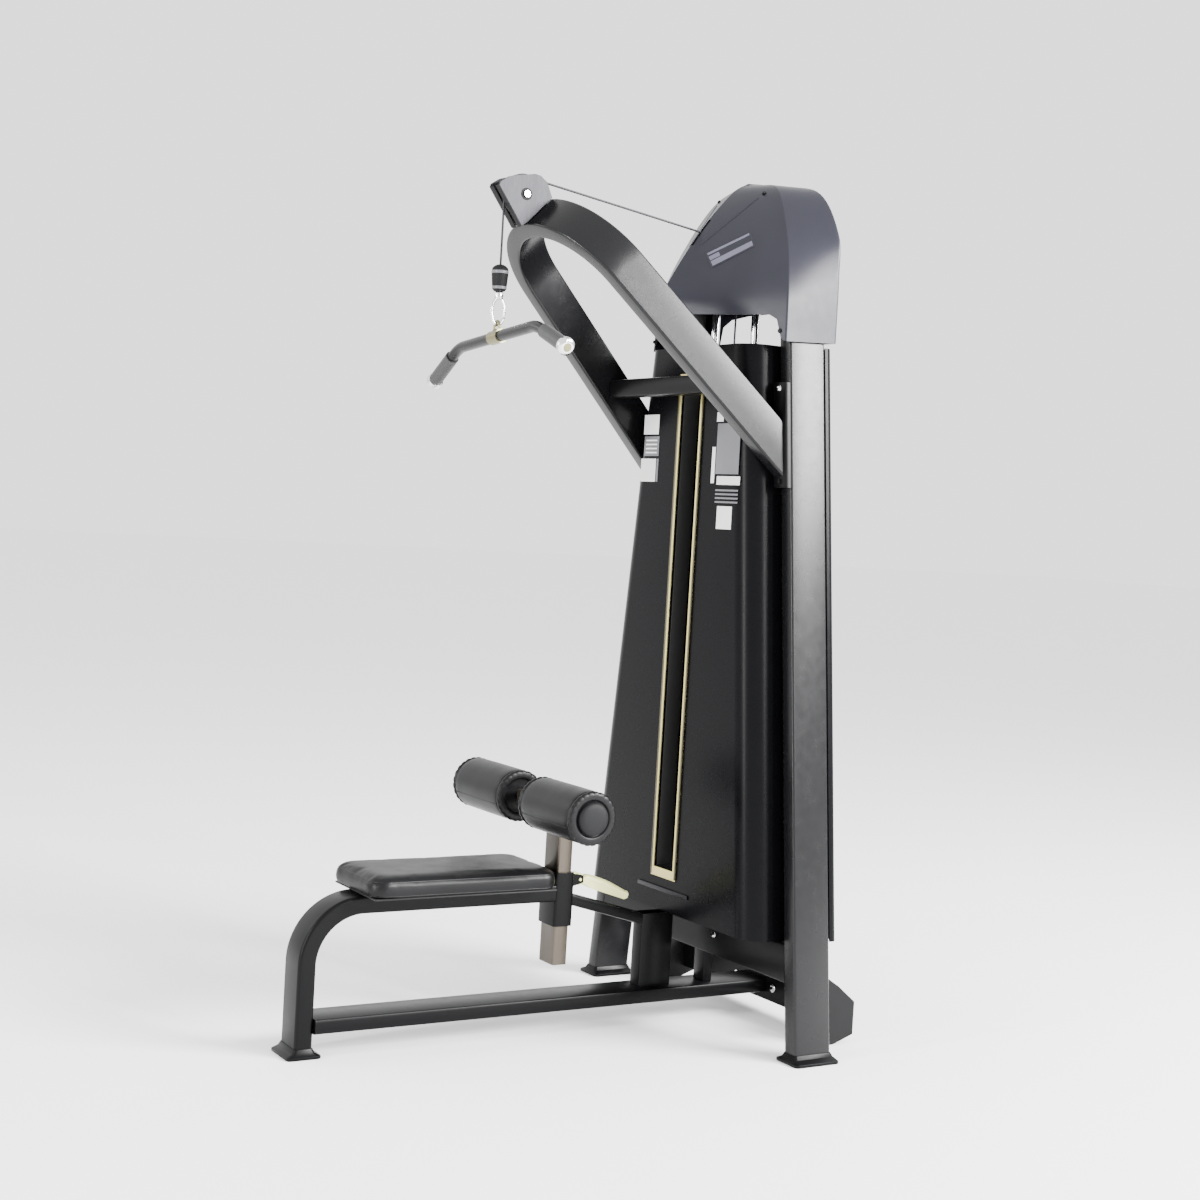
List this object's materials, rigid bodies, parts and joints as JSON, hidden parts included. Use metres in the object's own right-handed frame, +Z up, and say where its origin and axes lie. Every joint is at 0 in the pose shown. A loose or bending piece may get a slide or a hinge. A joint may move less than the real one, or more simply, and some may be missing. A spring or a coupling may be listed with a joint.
{
  "type": "lat pulldown machine",
  "caption": "Upright cable machine: a covered weight stack between leaning uprights, a looped pulley arm with a hanging bar, a seat and foam thigh rollers.",
  "frame": {"origin": "middle of the footprint's bounding box, on the floor", "axes": "+Z up, -Y towards the seat end, +X to the right as seen by someone facing the stack with +Y ahead"},
  "size_m": [1.152, 1.5655, 2.4399],
  "materials": {
    "frame_black": "satin powder coat",
    "upright_grey": "satin metallic powder coat",
    "cover_charcoal": "satin",
    "head_slate": "satin",
    "gold_trim": "metallic gold",
    "silver": "satin",
    "chrome": "polished",
    "bronze_tube": "satin, bronze tint",
    "vinyl": "matte grained vinyl over foam",
    "yellow": "satin",
    "cast_iron": "matte black paint",
    "rubber": "matte",
    "pulley_black": "satin nylon",
    "plywood": "black painted board"
  },
  "bodies": {
    "frame": {"upright_left": "upright_grey", "upright_right": "upright_grey", "foot_left": "frame_black", "foot_right": "frame_black", "front_foot": "frame_black", "seat_frame": "frame_black", "base_beam": "frame_black", "rear_beam": "frame_black", "rear_foot_left": "rubber", "rear_foot_right": "rubber", "central_post": "frame_black", "link_tube": "frame_black", "post_sleeve": "frame_black", "stack_base": "frame_black", "top_crossmember": "frame_black", "pulley_arm": "upright_grey", "arm_flange_left": "frame_black", "arm_flange_right": "frame_black", "arm_crossbar": "frame_black", "pulley_plate_left": "silver", "pulley_plate_right": "silver", "front_pulley_axle": "chrome", "head_bracket": "silver", "head_pulley_axle": "chrome", "guide_rod_left": "chrome", "guide_rod_right": "chrome", "bumper_left": "rubber", "bumper_right": "rubber", "front_cover": "cover_charcoal", "rear_cover": "cover_charcoal", "slot_trim": "gold_trim", "cover_strip": "silver", "head_cover_left": "head_slate", "head_cover_right": "head_slate", "seat_pad": "vinyl", "seat_board": "plywood", "cable_run": "silver", "resting_plate_1": "cast_iron", "resting_plate_2": "cast_iron", "resting_plate_3": "cast_iron", "resting_plate_4": "cast_iron"},
    "lifted_stack": {"stack_head": "cast_iron", "selector_rod": "chrome", "lifted_plate_1": "cast_iron", "lifted_plate_2": "cast_iron", "lifted_plate_3": "cast_iron", "cable_lift": "silver"},
    "selector": {"selector_pin": "rubber"},
    "cable_end": {"cable_drop": "silver", "cable_stopper": "rubber"},
    "hook": {"swivel_hook": "chrome"},
    "bar": {"lat_bar": "upright_grey"},
    "front_wheel": {"front_pulley": "pulley_black"},
    "head_wheel": {"head_pulley": "pulley_black"},
    "pad_carriage": {"pad_post": "bronze_tube", "roller_shaft": "chrome"},
    "left_roller": {"roller_left": "vinyl"},
    "right_roller": {"roller_right": "vinyl"},
    "lever": {"adjuster_lever": "yellow"},
    "lock": {"locking_pin": "chrome"}
  },
  "joints": [
    {"name": "stack_lift", "type": "slide", "parent": "frame", "child": "lifted_stack", "axis": [0, 0, 1], "range_m": [0, 0.9], "deforming": ["cable_lift"]},
    {"name": "selector_pull", "type": "slide", "parent": "lifted_stack", "child": "selector", "axis": [0, -1, 0], "range_m": [0, 0.06]},
    {"name": "bar_pull", "type": "slide", "parent": "frame", "child": "cable_end", "axis": [0, 0, -1], "range_m": [0, 0.9], "deforming": ["cable_drop"]},
    {"name": "hook_swivel", "type": "hinge", "parent": "cable_end", "child": "hook", "pos_m": [0, -0.26175, 2.0357], "axis": [0, 0, 1], "continuous": true},
    {"name": "bar_tilt", "type": "hinge", "parent": "hook", "child": "bar", "pos_m": [0, -0.26175, 1.945], "axis": [0, 1, 0], "range_deg": [-12, 12]},
    {"name": "front_pulley_spin", "type": "hinge", "parent": "frame", "child": "front_wheel", "pos_m": [0, -0.20975, 2.3015], "axis": [1, 0, 0], "range_deg": [0, 1000]},
    {"name": "head_pulley_spin", "type": "hinge", "parent": "frame", "child": "head_wheel", "pos_m": [0, 0.46625, 2.2124], "axis": [1, 0, 0], "range_deg": [0, 1000]},
    {"name": "pad_height", "type": "slide", "parent": "frame", "child": "pad_carriage", "axis": [0, 0, 1], "range_m": [-0.075, 0.075]},
    {"name": "roller_left_spin", "type": "hinge", "parent": "pad_carriage", "child": "left_roller", "pos_m": [-0.1975, -0.07475, 0.653], "axis": [1, 0, 0], "continuous": true},
    {"name": "roller_right_spin", "type": "hinge", "parent": "pad_carriage", "child": "right_roller", "pos_m": [0.1975, -0.07475, 0.653], "axis": [1, 0, 0], "continuous": true},
    {"name": "lever_lift", "type": "hinge", "parent": "frame", "child": "lever", "pos_m": [0, 0.08825, 0.4245], "axis": [1, 0, 0], "range_deg": [0, 15], "stiffness_Nm_per_rad": 0.5},
    {"name": "lock_draw", "type": "slide", "parent": "frame", "child": "lock", "axis": [0, 1, 0], "range_m": [0, 0.0105]}
  ],
  "couplings": [
    {"joint": "bar_pull", "follows": "stack_lift", "ratio": 1},
    {"joint": "front_pulley_spin", "follows": "stack_lift", "rad_per_m": 19.231},
    {"joint": "head_pulley_spin", "follows": "stack_lift", "rad_per_m": 19.231},
    {"joint": "lock_draw", "follows": "lever_lift", "m_per_rad": 0.038}
  ]
}
